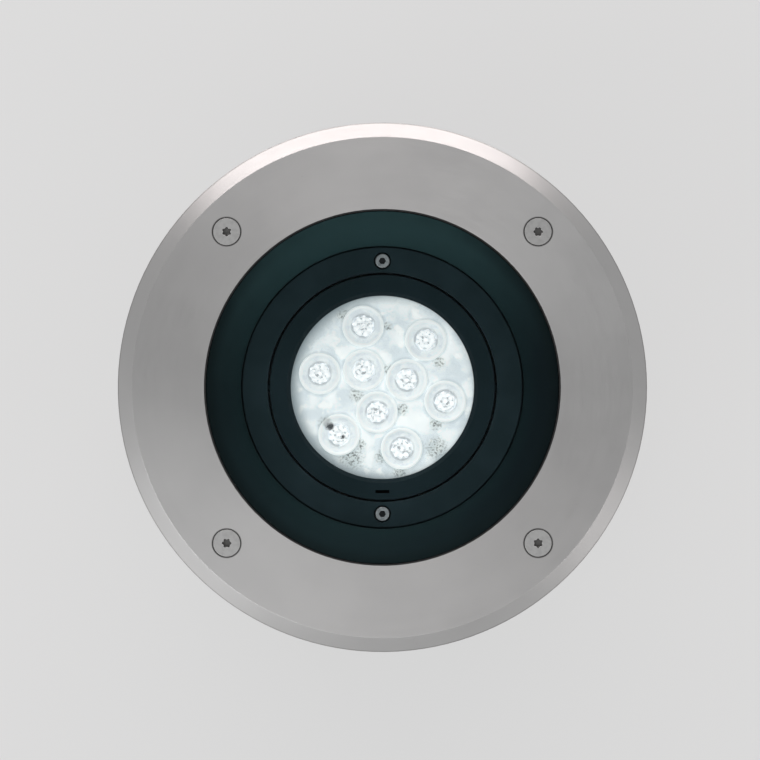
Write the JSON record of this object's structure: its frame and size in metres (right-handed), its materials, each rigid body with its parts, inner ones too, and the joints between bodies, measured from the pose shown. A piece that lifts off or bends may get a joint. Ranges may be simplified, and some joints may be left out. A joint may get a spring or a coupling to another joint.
{
  "type": "in-ground well light",
  "caption": "Round recessed in-ground light with a stainless trim ring, flush glass, an aimable lens head and a plastic sleeve for setting in the ground.",
  "frame": {"origin": "centre of the sleeve's foot, on the plane it stands on", "axes": "+Z up through the glass, +X to the right and +Y up as the picture shows the light"},
  "size_m": [0.25, 0.25, 0.225],
  "materials": {
    "satin_stainless": "satin, fine circular turning marks",
    "screw_stainless": "satin",
    "dark_screw_steel": "black oxide",
    "tempered_glass": "clear, polished",
    "black_silicone": "matt",
    "black_paint": "matt black",
    "black_anodised": "matt black anodised",
    "bearing_bronze": "sintered bronze",
    "white_plastic": "white, slightly glossy",
    "clear_acrylic": "clear moulded",
    "emitter_yellow": "phosphor",
    "white_board": "white solder mask on aluminium",
    "grey_pad": "soft",
    "raw_aluminium": "machined",
    "cast_aluminium": "die-cast, grey",
    "sleeve_plastic": "moulded, black",
    "brass": "turned",
    "zinc_steel": "zinc plated sheet",
    "driver_case": "moulded, pale grey",
    "terminal_plastic": "moulded, ivory",
    "nickel_brass": "nickel plated, satin",
    "vent_plastic": "moulded, black"
  },
  "bodies": {
    "fixture": {"recess_sleeve": "sleeve_plastic", "threaded_inserts": "brass", "housing": "cast_aluminium", "trim_ring": "satin_stainless", "trim_screws": "screw_stainless", "screw_retainers": "screw_stainless", "glass_lens": "tempered_glass", "glass_gasket": "black_silicone", "shroud": "black_paint", "carrier_ring": "black_anodised", "carrier_screws": "screw_stainless", "stop_pin": "screw_stainless", "gear_tray": "zinc_steel", "tray_standoffs": "screw_stainless", "tray_screws": "screw_stainless", "led_driver": "driver_case", "driver_screws": "screw_stainless", "terminal_block": "terminal_plastic", "terminal_clamps": "zinc_steel", "earth_washer": "brass", "earth_screw": "brass", "gland_bodies": "nickel_brass", "gland_orings": "black_silicone", "gland_seals": "black_silicone", "gland_caps": "nickel_brass", "gland_locknuts": "nickel_brass", "pressure_vent": "vent_plastic"},
    "middle_ring": {"pan_ring": "black_anodised", "pan_lock_screws": "dark_screw_steel", "clamp_shoe": "black_anodised", "stop_shoe": "black_anodised", "pivot_pins": "screw_stainless"},
    "light_head": {"optic_bezel": "black_anodised", "lens_holder": "white_plastic", "tir_lenses": "clear_acrylic", "led_emitters": "emitter_yellow", "led_board": "white_board", "thermal_pad": "grey_pad", "heat_sink": "raw_aluminium", "heat_sink_screws": "screw_stainless", "lead_grommet": "black_silicone", "pivot_bushes": "bearing_bronze"}
  },
  "joints": [
    {"name": "pan", "type": "hinge", "parent": "fixture", "child": "middle_ring", "pos_m": [0, 0, 0.1865], "axis": [0, 0, 1], "range_deg": [-175, 175]},
    {"name": "tilt", "type": "hinge", "parent": "middle_ring", "child": "light_head", "pos_m": [0, 0, 0.1865], "axis": [1, 0, 0], "range_deg": [-15, 15]}
  ]
}
